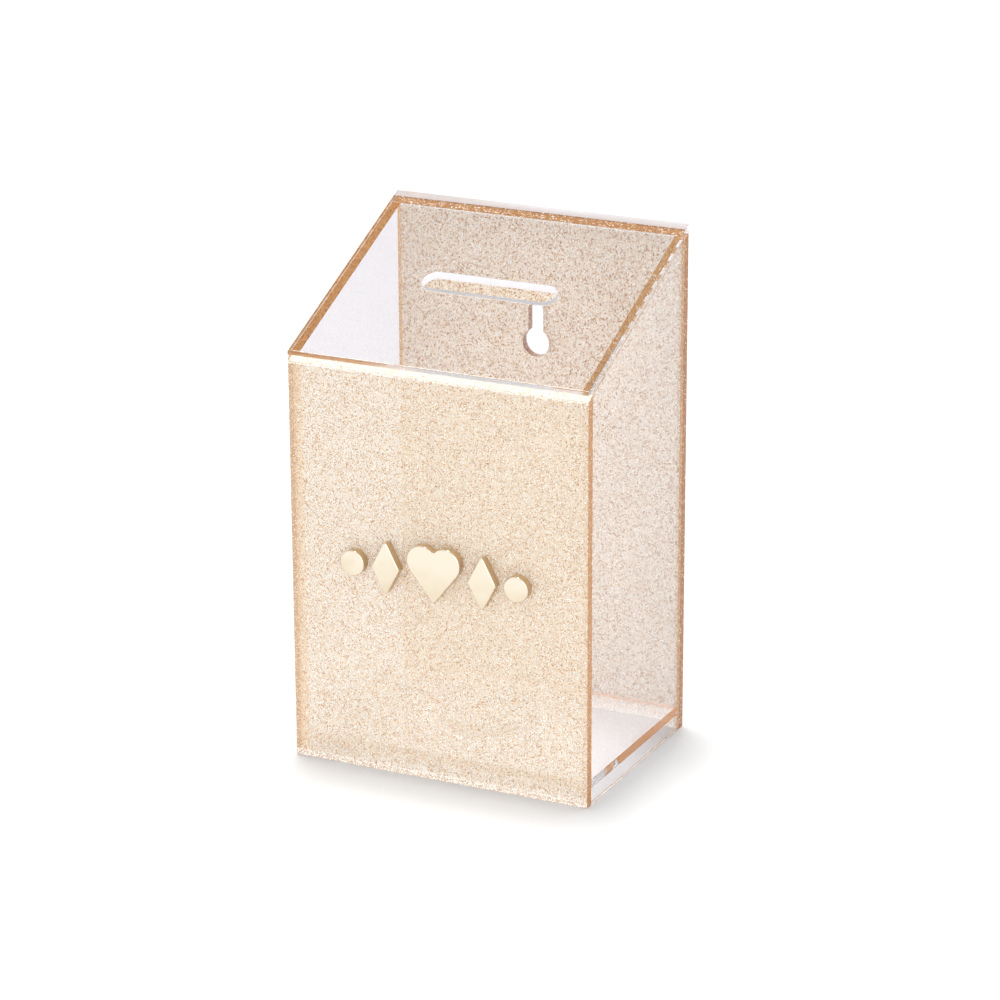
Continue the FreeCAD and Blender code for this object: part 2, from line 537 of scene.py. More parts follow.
def mix_colour(tree, share, first, second):
    """Output of a colour Mix node on colours or other nodes' outputs."""
    node = add_node(tree, "ShaderNodeMix", data_type="RGBA")
    tree.links.new(share, node.inputs["Factor"])
    ends = [socket for socket in node.inputs if socket.type == "RGBA"]
    for socket, value in zip(ends, (first, second)):
        fill_socket(tree, socket, value)
    return next(socket for socket in node.outputs if socket.type == "RGBA")


def worn_colour(tree, mask, colour, share):
    """Output of a colour that keeps only a share of its light where a mask is full."""
    return mix_colour(tree, mask, colour, darker(colour, share))


def dimmed(tree, colour, share):
    """Output of another node's colour with a share of its light."""
    node = add_node(tree, "ShaderNodeVectorMath", {"Scale": share}, operation="SCALE")
    tree.links.new(colour, node.inputs[0])
    return node.outputs[0]


def fade(tree, value, start, end):
    """Output that falls smoothly from 1 where a value is at start to 0 where it is at end."""
    limits = {"From Min": start, "From Max": end, "To Min": 1.0, "To Max": 0.0}
    node = add_node(tree, "ShaderNodeMapRange", limits, interpolation_type="SMOOTHSTEP")
    tree.links.new(value, node.inputs["Value"])
    return node.outputs["Result"]


def object_place(tree):
    """Output of the place on a piece, in its own coordinates."""
    return add_node(tree, "ShaderNodeTexCoord").outputs["Object"]


def split_vector(tree, vector):
    """Outputs of a vector's X, Y and Z."""
    node = add_node(tree, "ShaderNodeSeparateXYZ")
    tree.links.new(vector, node.inputs[0])
    return tuple(node.outputs)


def side_mask(tree, limit):
    """Mask of the faces that look along Y by less than a limit."""
    geometry = add_node(tree, "ShaderNodeNewGeometry")
    _, along_y, _ = split_vector(tree, geometry.outputs["Normal"])
    return math_node(tree, "LESS_THAN", math_node(tree, "ABSOLUTE", along_y), limit)


def new_group(name, inputs, outputs):
    """Empty shader node group with its sockets, and its input and output nodes."""
    group = bpy.data.node_groups.new(name, "ShaderNodeTree")
    for label, kind in inputs:
        group.interface.new_socket(label, in_out="INPUT", socket_type=kind)
    for label, kind in outputs:
        group.interface.new_socket(label, in_out="OUTPUT", socket_type=kind)
    return group, group.nodes.new("NodeGroupInput"), group.nodes.new("NodeGroupOutput")


def place_group(tree, group, values):
    """A group's node in a tree, with values for its inputs."""
    node = add_node(tree, "ShaderNodeGroup", node_tree=group)
    for name, value in values.items():
        fill_socket(tree, node.inputs[name], value)
    return node


def flakes_group():
    """Flakes scattered through a sheet: their colour, what they cover, and a number for each."""
    name = "Glitter flakes"
    if name in bpy.data.node_groups:
        return bpy.data.node_groups[name]
    number, colour_socket = "NodeSocketFloat", "NodeSocketColor"
    group, given, result = new_group(
        name,
        [
            ("Flakes per metre", number),
            ("Clear share", number),
            ("Ground", colour_socket),
            ("Tan", colour_socket),
            ("Brown", colour_socket),
            ("Pale", colour_socket),
            ("Tan share", number),
            ("Brown share", number),
            ("Pale share", number),
        ],
        [("Colour", colour_socket), ("Cover", number), ("Random", number)],
    )
    cells = add_node(group, "ShaderNodeTexVoronoi", {"Randomness": 1.0})
    group.links.new(object_place(group), cells.inputs["Vector"])
    group.links.new(given.outputs["Flakes per metre"], cells.inputs["Scale"])
    split = add_node(group, "ShaderNodeSeparateColor")
    group.links.new(cells.outputs["Color"], split.inputs[0])
    inside = math_node(group, "LESS_THAN", cells.outputs["Distance"], FLAKE_FILL)
    colour = given.outputs["Ground"]
    cover = math_node(group, "SUBTRACT", 1.0, given.outputs["Clear share"])
    for channel, tone in zip(split.outputs, ("Tan", "Brown", "Pale")):
        chosen = math_node(group, "LESS_THAN", channel, given.outputs[tone + " share"])
        flake = math_node(group, "MULTIPLY", chosen, inside)
        turned = math_node(group, "FRACT", math_node(group, "MULTIPLY", channel, FLAKE_TURNS))
        strength = math_node(group, "MULTIPLY_ADD", turned, 1.0 - FAINT_FLAKE, FAINT_FLAKE)
        shown = math_node(group, "MULTIPLY", flake, strength)
        colour = mix_colour(group, shown, colour, given.outputs[tone])
        cover = math_node(group, "MAXIMUM", cover, flake)
    group.links.new(colour, result.inputs["Colour"])
    group.links.new(cover, result.inputs["Cover"])
    group.links.new(split.outputs[0], result.inputs["Random"])
    return group


def flakes_in(tree, ground, shares, density, clear_share=0.0):
    """The flakes node in a material's tree, with its ground, the share of each flake and their density."""
    glitter = settings().glitter
    tan_share, brown_share, pale_share = shares
    values = {
        "Flakes per metre": glitter.flakes * density,
        "Clear share": clear_share,
        "Ground": ground,
        "Tan": glitter.tan,
        "Brown": glitter.brown,
        "Pale": glitter.pale,
        "Tan share": tan_share,
        "Brown share": brown_share,
        "Pale share": pale_share,
    }
    return place_group(tree, flakes_group(), values)


def marks_group():
    """Marks of handling: soft smudges, fine scratches and a fine grain, each from 0 to 1."""
    name = "Handling marks"
    if name in bpy.data.node_groups:
        return bpy.data.node_groups[name]
    number = "NodeSocketFloat"
    group, given, result = new_group(
        name,
        [("Smudges per metre", number), ("Scratches per metre", number), ("Grains per metre", number)],
        [("Smudge", number), ("Scratch", number), ("Grain", number)],
    )
    place = object_place(group)
    turned = add_node(group, "ShaderNodeMapping", {"Rotation": SCRATCH_TURN, "Scale": SCRATCH_STRETCH})
    group.links.new(place, turned.inputs["Vector"])
    clouds = add_node(group, "ShaderNodeTexNoise", {"Detail": 3.0, "Distortion": 0.6})
    streaks = add_node(group, "ShaderNodeTexNoise", {"Detail": 2.0})
    grains = add_node(group, "ShaderNodeTexNoise", {"Detail": 1.0})
    for noise, vector, density in (
        (clouds, place, "Smudges per metre"),
        (streaks, turned.outputs["Vector"], "Scratches per metre"),
        (grains, place, "Grains per metre"),
    ):
        group.links.new(vector, noise.inputs["Vector"])
        group.links.new(given.outputs[density], noise.inputs["Scale"])
    group.links.new(fade(group, clouds.outputs["Fac"], *SMUDGE_LEVELS), result.inputs["Smudge"])
    group.links.new(fade(group, streaks.outputs["Fac"], *SCRATCH_LEVELS), result.inputs["Scratch"])
    group.links.new(grains.outputs["Fac"], result.inputs["Grain"])
    return group


def marks_in(tree, smudges, scratches, grains):
    """The handling marks node in a material's tree, with how many of each lie along a metre."""
    values = {"Smudges per metre": smudges, "Scratches per metre": scratches, "Grains per metre": grains}
    return place_group(tree, marks_group(), values)


# Materials


def new_material(name):
    """Material with a Principled BSDF, its tree and that node."""
    material = bpy.data.materials.new(name)
    material.use_nodes = True
    return material, material.node_tree, material.node_tree.nodes["Principled BSDF"]


def show(tree, shader):
    """Makes a shader the surface of a material."""
    tree.links.new(shader.outputs[0], tree.nodes["Material Output"].inputs["Surface"])


def mix_shaders(tree, share, first, second):
    """Mix of two shaders."""
    mix = add_node(tree, "ShaderNodeMixShader")
    tree.links.new(share, mix.inputs["Fac"])
    tree.links.new(first.outputs[0], mix.inputs[1])
    tree.links.new(second.outputs[0], mix.inputs[2])
    return mix


def set_roughness(tree, principled, mask, least, spread):
    """Roughness that rises from its least by a spread where a mask is full."""
    tree.links.new(math_node(tree, "MULTIPLY_ADD", mask, spread, least), principled.inputs["Roughness"])


def pass_lamps(tree, principled, share):
    """Lets a share of lamp light and scattered light through a surface."""
    rays = add_node(tree, "ShaderNodeLightPath")
    lit = math_node(tree, "MAXIMUM", rays.outputs["Is Shadow Ray"], rays.outputs["Is Diffuse Ray"])
    bounced = add_node(tree, "ShaderNodeFresnel", {"IOR": ACRYLIC_IOR})
    entering = math_node(tree, "MULTIPLY_ADD", bounced.outputs[0], -share, share)
    through = add_node(tree, "ShaderNodeBsdfTransparent")
    show(tree, mix_shaders(tree, math_node(tree, "MULTIPLY", lit, entering), principled, through))


def lit_ends(tree, y, z, ragged):
    """Mask of the pale bands of painted light at a sheet's foot and under the lid, with a ragged border."""
    band = settings().glitter.lit_rim
    lid_height = math_node(tree, "MULTIPLY_ADD", y, math.tan(LID_SLOPE), lid_under(0))
    below_lid = math_node(tree, "SUBTRACT", lid_height, z)
    distance = math_node(tree, "MINIMUM", z, math_node(tree, "MULTIPLY", below_lid, UPPER_BAND))
    return fade(tree, math_node(tree, "MULTIPLY_ADD", ragged, band, distance), band, BAND_FADE * band)


def glitter_material(name, ground, cut_edge, shares, density, clear_share, glow, glow_reach):
    """Translucent sheet filled with gold flakes, deep orange where it is cut, with painted light: pale near
    its lit ends, tan from the lit left weld, and a painted glow low down and at its ends.
    """
    glitter = settings().glitter
    material, tree, principled = new_material(name)
    face = flakes_in(tree, ground, shares, density, clear_share)
    cut = flakes_in(tree, cut_edge, EDGE_SHARES, density)
    edge = side_mask(tree, CUT_EDGE_LIMIT)
    broad = math_node(tree, "SUBTRACT", 1.0, edge)
    x, y, z = split_vector(tree, object_place(tree))
    # Painted light: pale bands where light enters the sheet at its foot and under the lid
    lit_band = lit_ends(tree, y, z, face.outputs["Random"])
    # The weld is real; its tan on the front's left edge only is painted light from the lit left side
    welded = fade(tree, x, LEFT_HIGH.x - LEFT_WELD_REACH, LEFT_HIGH.x)
    welded = math_node(tree, "MULTIPLY", welded, LEFT_WELD_TONE)
    colour = mix_colour(tree, welded, face.outputs["Colour"], glitter.tan)
    colour = mix_colour(tree, lit_band, colour, glitter.pale)
    colour = mix_colour(tree, edge, colour, cut.outputs["Colour"])
    tree.links.new(colour, principled.inputs["Base Color"])
    tree.links.new(math_node(tree, "MAXIMUM", face.outputs["Cover"], edge), principled.inputs["Alpha"])
    # Painted glow, fading upwards from the foot
    low_down = math_node(tree, "MULTIPLY", fade(tree, z, 0.0, glow_reach), broad)
    light = mix_colour(tree, low_down, BLACK, dimmed(tree, colour, glow))
    # Painted glow in the pale bands at the sheet's ends
    at_ends = math_node(tree, "MULTIPLY", lit_band, broad)
    light = mix_colour(tree, at_ends, light, darker(glitter.pale, glitter.rim_glow))
    tree.links.new(light, principled.inputs["Emission Color"])
    set_inputs(principled, {"Emission Strength": 1.0, "Roughness": 0.12, "IOR": ACRYLIC_IOR})
    pass_lamps(tree, principled, glitter.lamp_share)
    return material


def glitter_joint_material(name, ground, glow, shares):
    """Face of a clear sheet that is cemented to glitter, with the glitter seen through it in a tone that
    paints its light or shade, and a painted glow of a given strength.
    """
    material, tree, principled = new_material(name)
    flakes = flakes_in(tree, ground, shares, JOINT_DENSITY)
    tree.links.new(flakes.outputs["Colour"], principled.inputs["Base Color"])
    # Painted glow in the weld's tone
    tree.links.new(flakes.outputs["Colour"], principled.inputs["Emission Color"])
    set_inputs(principled, {"Emission Strength": glow, "Roughness": 0.6, "Specular IOR Level": 0.0})
    return material


def clear_joint_material(name, tint):
    """Face between two clear sheets that are welded into one."""
    material, tree, principled = new_material(name)
    tree.nodes.remove(principled)
    show(tree, add_node(tree, "ShaderNodeBsdfTransparent", {"Color": (*tint, 1.0)}))
    return material


def clear_material(name, tint, glow=0.0, frost=0.0):
    """Clear sheet, polished or frosted and faintly smudged, with a painted glow of a given strength, that
    lets lamps through to what is inside.
    """
    material, tree, principled = new_material(name)
    marks = marks_in(tree, smudges=45.0, scratches=60.0, grains=2000.0)
    worn = math_node(tree, "MAXIMUM", marks.outputs["Smudge"], marks.outputs["Scratch"])
    tree.links.new(worn_colour(tree, worn, tint, share=0.99), principled.inputs["Base Color"])
    set_roughness(tree, principled, worn, least=frost, spread=0.02)
    # Painted glow: faces seen from outside give out the tint, as strong as glow
    inner = add_node(tree, "ShaderNodeNewGeometry").outputs["Backfacing"]
    tree.links.new(mix_colour(tree, inner, tint, BLACK), principled.inputs["Emission Color"])
    set_inputs(principled, {"Emission Strength": glow, "Transmission Weight": 1.0, "IOR": ACRYLIC_IOR})
    pass_lamps(tree, principled, share=1.0)
    return material


def frosted_material():
    """Milled wall of clear sheet, frosted, faintly lined by the cutter and given a painted glow."""
    clear = settings().clear
    material, tree, principled = new_material("frosted_cut")
    marks = marks_in(tree, smudges=400.0, scratches=300.0, grains=3000.0)
    colour = worn_colour(tree, marks.outputs["Scratch"], clear.frosted, share=0.94)
    tree.links.new(colour, principled.inputs["Base Color"])
    # Painted glow in the walls' own colour
    tree.links.new(colour, principled.inputs["Emission Color"])
    principled.inputs["Emission Strength"].default_value = clear.frosted_glow
    set_roughness(tree, principled, marks.outputs["Grain"], least=0.3, spread=0.3)
    return material


def gold_material():
    """Mirror-polished gold plate, with a painted reflection that deepens its tone towards its foot, and
    brown cut sides.
    """
    ornament = settings().ornament
    low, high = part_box("heart_ornament")
    height = high.z - low.z
    material, tree, principled = new_material("mirror_gold_plate")
    place = object_place(tree)
    clouds = add_node(tree, "ShaderNodeTexNoise", {"Scale": 180.0, "Detail": 2.0})
    tree.links.new(place, clouds.inputs["Vector"])
    _, _, z = split_vector(tree, place)
    # Painted reflection: deeper gold towards the foot, with a cloudy border
    drift = math_node(tree, "MULTIPLY_ADD", clouds.outputs["Fac"], height, z)
    deep = fade(tree, drift, *(low.z + share * height for share in FOOT_REFLECTION_SPAN))
    plated = mix_colour(tree, deep, ornament.gold, ornament.foot_reflection_gold)
    side = side_mask(tree, PLATE_SIDE_LIMIT)
    tree.links.new(mix_colour(tree, side, plated, ornament.cut_side), principled.inputs["Base Color"])
    tree.links.new(math_node(tree, "SUBTRACT", 1.0, side), principled.inputs["Metallic"])
    marks = marks_in(tree, smudges=160.0, scratches=240.0, grains=3000.0)
    worn = math_node(tree, "MAXIMUM", marks.outputs["Smudge"], marks.outputs["Scratch"])
    set_roughness(tree, principled, worn, least=0.07, spread=0.07)
    return material


def stopper_material():
    """Soft cloudy plastic with a moulded grain."""
    material, tree, principled = new_material("cloudy_soft_plastic")
    marks = marks_in(tree, smudges=120.0, scratches=200.0, grains=4000.0)
    colour = worn_colour(tree, marks.outputs["Smudge"], settings().stopper.cloudy, share=0.94)
    tree.links.new(colour, principled.inputs["Base Color"])
    set_roughness(tree, principled, marks.outputs["Grain"], least=0.32, spread=0.25)
    relief = add_node(tree, "ShaderNodeBump", {"Strength": 0.15, "Distance": 0.0002})
    tree.links.new(marks.outputs["Grain"], relief.inputs["Height"])
    tree.links.new(relief.outputs["Normal"], principled.inputs["Normal"])
    set_inputs(principled, {"Transmission Weight": 0.8, "IOR": SOFT_IOR})
    pass_lamps(tree, principled, share=0.9)
    return material


def sheet_materials():
    """A clear sheet's materials, in the order of their numbers."""
    clear, glitter = settings().clear, settings().glitter
    return (
        clear_material("clear_acrylic", clear.tint),
        # The welds' tones are painted light and shade: lit on the left side, shaded on the right, deep
        # orange at the base's back edge and dark under the lid
        glitter_joint_material("lit_left_end_weld", glitter.lit_joint, glitter.joint_glow, JOINT_SHARES),
        glitter_joint_material("shaded_right_end_weld", glitter.shaded_joint, glitter.joint_glow, JOINT_SHARES),
        glitter_joint_material("base_edge_weld", glitter.joint, glitter.joint_glow, JOINT_SHARES),
        glitter_joint_material("front_edge_weld", glitter.ground, 0.0, FRONT_SHARES),
        glitter_joint_material("shaded_back_edge_weld", glitter.shaded_back_joint, 0.0, JOINT_SHARES),
        clear_joint_material("clear_weld", WHITE),
        # The left seam's brown is painted light
        clear_joint_material("clear_seam", clear.painted_seam_tint),
        # The rear end's tint is painted shade
        clear_material("shaded_lid_end", clear.rear_end_shade, frost=clear.end_frost),
        frosted_material(),
        clear_material("clear_base", clear.base_tint, glow=clear.base_glow),
        clear_material("clear_lid_side", clear.side_end_tint),
        clear_material("clear_lid_front", clear.front_end_tint, frost=clear.end_frost),
    )


# Meshes


def add_object(name, data):
    """New object in the scene."""
    thing = bpy.data.objects.new(name, data)
    bpy.context.scene.collection.objects.link(thing)
    return thing


def mesh_object(bm, name):
    """Object from a bmesh."""
    mesh = bpy.data.meshes.new(name)
    bm.to_mesh(mesh)
    bm.free()
    return add_object(name, mesh)


def finish_piece(bm, name, node, body, materials):
    """Piece from a bmesh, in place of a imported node."""
    piece = mesh_object(bm, name)
    for material in materials:
        piece.data.materials.append(material)
    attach(piece, body)
    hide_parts(node)
    return piece


def only(items, kind):
    """The items of one kind: vertices, edges or faces."""
    return [item for item in items if isinstance(item, kind)]


def edge_middle(edge):
    """Middle of an edge."""
    return (edge.verts[0].co + edge.verts[1].co) / 2


def sharp_edges(bm):
    """Edges where a solid turns a corner."""
    return [edge for edge in bm.edges if edge.calc_face_angle() > SHARP]


def add_rectangle(bm, left, right, front, back, height):
    """Rectangle of edges at a height."""
    corners = [(left, front), (right, front), (right, back), (left, back)]
    rim = [bm.verts.new((x, y, height)) for x, y in corners]
    for start, end in zip(rim, rim[1:] + rim[:1]):
        bm.edges.new((start, end))


def add_arc(bm, start, centre, angle, steps):
    """Arc of edges from a vertex round an upright axis. Returns its last vertex."""
    arc = bmesh.ops.spin(bm, geom=[start], cent=centre, axis=(0, 0, 1), angle=angle, steps=steps)
    return only(arc["geom_last"], bmesh.types.BMVert)[0]


def fill_outlines(bm):
    """Fills flat outlines with faces that look up."""
    bmesh.ops.triangle_fill(bm, use_beauty=True, use_dissolve=False, edges=bm.edges[:], normal=(0, 0, 1))


def extrude_faces(bm, faces, move):
    """Solid from flat faces, grown along a vector."""
    grown = bmesh.ops.extrude_face_region(bm, geom=faces, use_keep_orig=True)["geom"]
    bmesh.ops.translate(bm, vec=move, verts=only(grown, bmesh.types.BMVert))
    bmesh.ops.recalc_face_normals(bm, faces=bm.faces)


def split_at(bm, place, direction):
    """Divides a solid's faces where a plane crosses them."""
    everything = bm.verts[:] + bm.edges[:] + bm.faces[:]
    bmesh.ops.bisect_plane(bm, geom=everything, dist=CUT_SLACK, plane_co=place, plane_no=direction)


def round_edges(bm, edges, radius, segments=2):
    """Rounds a solid's edges."""
    bmesh.ops.bevel(
        bm,
        geom=edges,
        offset=radius,
        offset_type="OFFSET",
        segments=segments,
        profile=0.5,
        affect="EDGES",
        clamp_overlap=True,
        material=-1,
    )


def side_finish(face, on_right):
    """Number of the material on a side sheet's face."""
    inward = -face.normal.x if on_right else face.normal.x
    if abs(face.normal.y) > ALONG:
        return SHADED_JOINT if on_right else LIT_JOINT
    if face.normal.dot(LID_NORMAL) > ALONG:
        return CLEAR_JOINT if on_right else SEAM
    if inward > ALONG and BASE_LOW.z < face.calc_center_median().z < BASE_HIGH.z:
        return CLEAR_JOINT
    return CLEAR


def clear_side(node, materials):
    """Clear side sheet, with its welded ends, top and base joint marked."""
    clear = settings().clear
    low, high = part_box(node)
    front, back = low.y + clear.weld_film, high.y - clear.weld_film
    outline = [(front, low.z), (back, low.z), (back, lid_under(back)), (front, lid_under(front))]
    bm = bmesh.new()
    face = bm.faces.new([bm.verts.new((low.x, y, z)) for y, z in outline])
    extrude_faces(bm, [face], (high.x - low.x, 0, 0))
    along = [edge for edge in bm.edges if abs(edge.verts[0].co.y - edge.verts[1].co.y) > SHEET]
    at_foot = [edge for edge in along if edge_middle(edge).z < SHEET]
    at_seam = [edge for edge in along if edge not in at_foot and edge_middle(edge).x < LEFT_LOW.x + NEAR]
    round_edges(bm, at_foot + at_seam, clear.edge_round)
    for height in (BASE_LOW.z, BASE_HIGH.z):
        split_at(bm, (0, 0, height), (0, 0, 1))
    for face in bm.faces:
        face.material_index = side_finish(face, on_right=low.x > 0)
    return finish_piece(bm, node.replace("_panel", "_sheet"), node, "box", materials)


def lid_plate(bm, half_run, thickness):
    """Flat plate with the coin slot, about the middle of its upper face."""
    clear = settings().clear
    radius = clear.slot_width / 2
    reach = clear.slot_length / 2 - radius
    add_rectangle(bm, LID_LOW.x, LID_HIGH.x, -half_run, half_run, 0)
    ends = []
    for side in (1, -1):
        start = bm.verts.new((side * reach, -side * radius, 0))
        ends.append((start, add_arc(bm, start, (side * reach, 0, 0), math.pi, SLOT_STEPS)))
    bm.edges.new((ends[0][1], ends[1][0]))
    bm.edges.new((ends[1][1], ends[0][0]))
    fill_outlines(bm)
    extrude_faces(bm, bm.faces[:], (0, 0, -thickness))
    # The front and back ends stand upright once the plate is tilted
    lower = [vert for vert in bm.verts if vert.co.z < -thickness / 2]
    lower_ends = [vert for vert in lower if abs(abs(vert.co.y) - half_run) < NEAR]
    bmesh.ops.translate(bm, vec=(0, -thickness * math.tan(LID_SLOPE), 0), verts=lower_ends)


def lid_finish(face, slot_width):
    """Number of the material on the tilted lid's face."""
    centre, normal = face.calc_center_median(), face.normal
    over_side = not LEFT_HIGH.x < centre.x < RIGHT_LOW.x
    if normal.dot(LID_NORMAL) < -ALONG:
        if centre.y < FRONT_HIGH.y:
            return FRONT_JOINT
        if centre.y > BACK_LOW.y:
            return BACK_JOINT
        return CLEAR_JOINT if over_side else CLEAR
    if normal.y > ALONG and centre.y > BACK_LOW.y:
        return LID_END
    if normal.y < -ALONG and centre.y < FRONT_HIGH.y:
        return LID_FRONT
    if abs(normal.x) > ALONG and over_side:
        return LID_SIDE
    if abs(normal.dot(LID_NORMAL)) < SQUARE and abs(centre.y - LID_MIDDLE) < slot_width:
        return FROSTED
    return CLEAR


def clear_lid(materials):
    """Clear sloped lid with a coin slot, with its welded borders marked."""
    clear = settings().clear
    half_run = (LID_HIGH.y - LID_LOW.y) / 2 / math.cos(LID_SLOPE)
    bm = bmesh.new()
    lid_plate(bm, half_run, SHEET - clear.weld_film)
    # All the upper rims are rounded, and below them the slot's and those along the sides
    rims = [(edge, edge_middle(edge)) for edge in sharp_edges(bm)]
    free = [edge for edge, middle in rims if middle.z > -NEAR or abs(middle.y) < clear.slot_width]
    round_edges(bm, free, clear.edge_round)
    place = Matrix.Translation((0, LID_MIDDLE, lid_top(LID_MIDDLE))) @ Matrix.Rotation(LID_SLOPE, 4, "X")
    bmesh.ops.transform(bm, matrix=place, verts=bm.verts)
    for vert in bm.verts:
        vert.co.y = min(vert.co.y, LID_HIGH.y)
    for x in (LEFT_HIGH.x, RIGHT_LOW.x):
        split_at(bm, (x, 0, 0), (1, 0, 0))
    for y in (FRONT_HIGH.y, BACK_LOW.y):
        split_at(bm, (0, y, 0), (0, 1, 0))
    for face in bm.faces:
        face.material_index = lid_finish(face, clear.slot_width)
    return finish_piece(bm, "lid_sheet", "sloped_lid", "box", materials)


def base_finish(face, hole_reach):
    """Number of the material on the base's face."""
    centre, normal = face.calc_center_median(), face.normal
    if abs(centre.y - BASE_MIDDLE) > hole_reach and abs(normal.y) > ALONG:
        return BASE_JOINT if normal.y > 0 else FRONT_JOINT
    if abs(centre.x) > hole_reach and abs(normal.x) > ALONG:
        return CLEAR_JOINT
    return CLEAR_BASE


def clear_base(materials):
    """Clear base with the stopper's hole, with its welded rim marked."""
    clear = settings().clear
    film = clear.weld_film
    hole = Vector((0, BASE_MIDDLE))
    hole_reach = clear.stopper_hole * HOLE_REACH
    left, right = BASE_LOW.x + film, BASE_HIGH.x - film
    front, back = BASE_LOW.y + film, BASE_HIGH.y - film
    bm = bmesh.new()
    add_rectangle(bm, left, right, front, back, BASE_LOW.z)
    place = Matrix.Translation((*hole, BASE_LOW.z))
    bmesh.ops.create_circle(bm, segments=HOLE_STEPS, radius=clear.stopper_hole / 2, matrix=place)
    fill_outlines(bm)
    extrude_faces(bm, bm.faces[:], (0, 0, SHEET))
    hole_rims = [edge for edge in sharp_edges(bm) if (edge_middle(edge).xy - hole).length < hole_reach]
    round_edges(bm, hole_rims, clear.edge_round)
    for face in bm.faces:
        face.material_index = base_finish(face, hole_reach)
    return finish_piece(bm, "base_sheet", "base_plate", "box", materials)


def flange_outline(bm, height):
    """Flange and tab in one outline, from the tab's near corner round the flange and the tab's end."""
    half_tab = settings().stopper.tab_width / 2
    radius = STOPPER_HIGH.x
    tab_start = math.sqrt(radius**2 - half_tab**2)
    tab_end = STOPPER_LOW.x + half_tab
    sweep = 2 * math.pi - 2 * math.asin(half_tab / radius)
    first = bm.verts.new((-tab_start, BASE_MIDDLE - half_tab, height))
    last = add_arc(bm, first, (0, BASE_MIDDLE, 0), sweep, FLANGE_STEPS)
    far = bm.verts.new((tab_end, BASE_MIDDLE + half_tab, height))
    near = add_arc(bm, far, (tab_end, BASE_MIDDLE, 0), math.pi, TAB_STEPS)
    bm.edges.new((last, far))
    bm.edges.new((near, first))


def grow_disc(bm, disc, radius, end_radius, height):
    """Raises a round face off its plate, to another radius."""
    grown = bmesh.ops.extrude_face_region(bm, geom=disc)["geom"]
    bmesh.ops.delete(bm, geom=disc, context="FACES_ONLY")
    disc[:] = only(grown, bmesh.types.BMFace)
    verts = disc[0].verts[:]
    centre = disc[0].calc_center_median()
    share = end_radius / radius
    bmesh.ops.scale(bm, vec=(share, share, 1), space=Matrix.Translation(-centre), verts=verts)
    bmesh.ops.translate(bm, vec=(0, 0, height), verts=verts)


def press_dish(bm, faces, border, depth):
    """Presses a shallow dish into flat faces, inside a border."""
    bmesh.ops.inset_region(bm, faces=faces, thickness=border, depth=0)
    bmesh.ops.inset_region(bm, faces=faces, thickness=depth, depth=-depth)


def soft_stopper():
    """Soft push-in stopper: a dished flange with a pull tab, a neck and a tapered nose."""
    stopper = settings().stopper
    shoulder = STOPPER_LOW.z + stopper.flange
    neck = settings().clear.stopper_hole / 2 - stopper.clearance
    tip = neck - stopper.taper
    bm = bmesh.new()
    flange_outline(bm, shoulder)
    place = Matrix.Translation((0, BASE_MIDDLE, shoulder))
    bmesh.ops.create_circle(bm, segments=HOLE_STEPS, radius=neck, matrix=place, cap_ends=True)
    disc = bm.faces[:]
    fill_outlines(bm)
    # Neck and nose
    grow_disc(bm, disc, neck, neck, BASE_HIGH.z - shoulder)
    grow_disc(bm, disc, neck, tip, STOPPER_HIGH.z - BASE_HIGH.z)
    nose_rim = list(disc[0].edges)
    press_dish(bm, disc, tip * NOSE_BORDER, stopper.dish)
    round_edges(bm, nose_rim, stopper.nose_round, segments=4)
    # Underside
    open_rim = [edge for edge in bm.edges if edge.is_boundary]
    grown = bmesh.ops.extrude_edge_only(bm, edges=open_rim)["geom"]
    lower_rim = [edge for edge in only(grown, bmesh.types.BMEdge) if edge.is_boundary]
    bmesh.ops.translate(bm, vec=(0, 0, -stopper.flange), verts=only(grown, bmesh.types.BMVert))
    bmesh.ops.contextual_create(bm, geom=lower_rim)
    bmesh.ops.recalc_face_normals(bm, faces=bm.faces)
    round_edges(bm, open_rim + lower_rim, stopper.flange * FLANGE_ROUND, segments=3)
    under = [face for face in bm.faces if face.normal.z < -ALONG]
    press_dish(bm, under, stopper.tab_width * UNDER_BORDER, stopper.dish)
    for face in bm.faces:
        face.smooth = abs(face.normal.z) < ALONG
    return finish_piece(bm, "stopper_plug", "base_stopper", "stopper", [stopper_material()])


def dress(node, material, edge_round):
    """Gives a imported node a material, merges its loose triangles and rounds its sharp edges."""
    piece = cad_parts[node]
    piece.data.materials.clear()
    piece.data.materials.append(material)
    weld = piece.modifiers.new("Merge", "WELD")
    weld.merge_threshold = NEAR
    bevel = piece.modifiers.new("Round edges", "BEVEL")
    bevel.width = edge_round
    bevel.segments = 2
    bevel.limit_method = "ANGLE"
    bevel.angle_limit = SHARP


# Stage


def make_floor(stage):
    """White floor that keeps the box's shadow, and is seen only from above."""
    bm = bmesh.new()
    bmesh.ops.create_grid(bm, x_segments=1, y_segments=1, size=stage.floor_size / 2)
    bmesh.ops.translate(bm, vec=(0, 0, -FLOOR_DROP), verts=bm.verts)
    floor = mesh_object(bm, "floor")
    material, tree, principled = new_material("floor_white")
    floor.data.materials.append(material)
    shade = (*darker(WHITE, stage.floor_shade), 1.0)
    set_inputs(principled, {"Base Color": shade, "Roughness": 0.9, "Specular IOR Level": 0.0})
    below = add_node(tree, "ShaderNodeNewGeometry").outputs["Backfacing"]
    through = add_node(tree, "ShaderNodeBsdfTransparent")
    show(tree, mix_shaders(tree, below, principled, through))


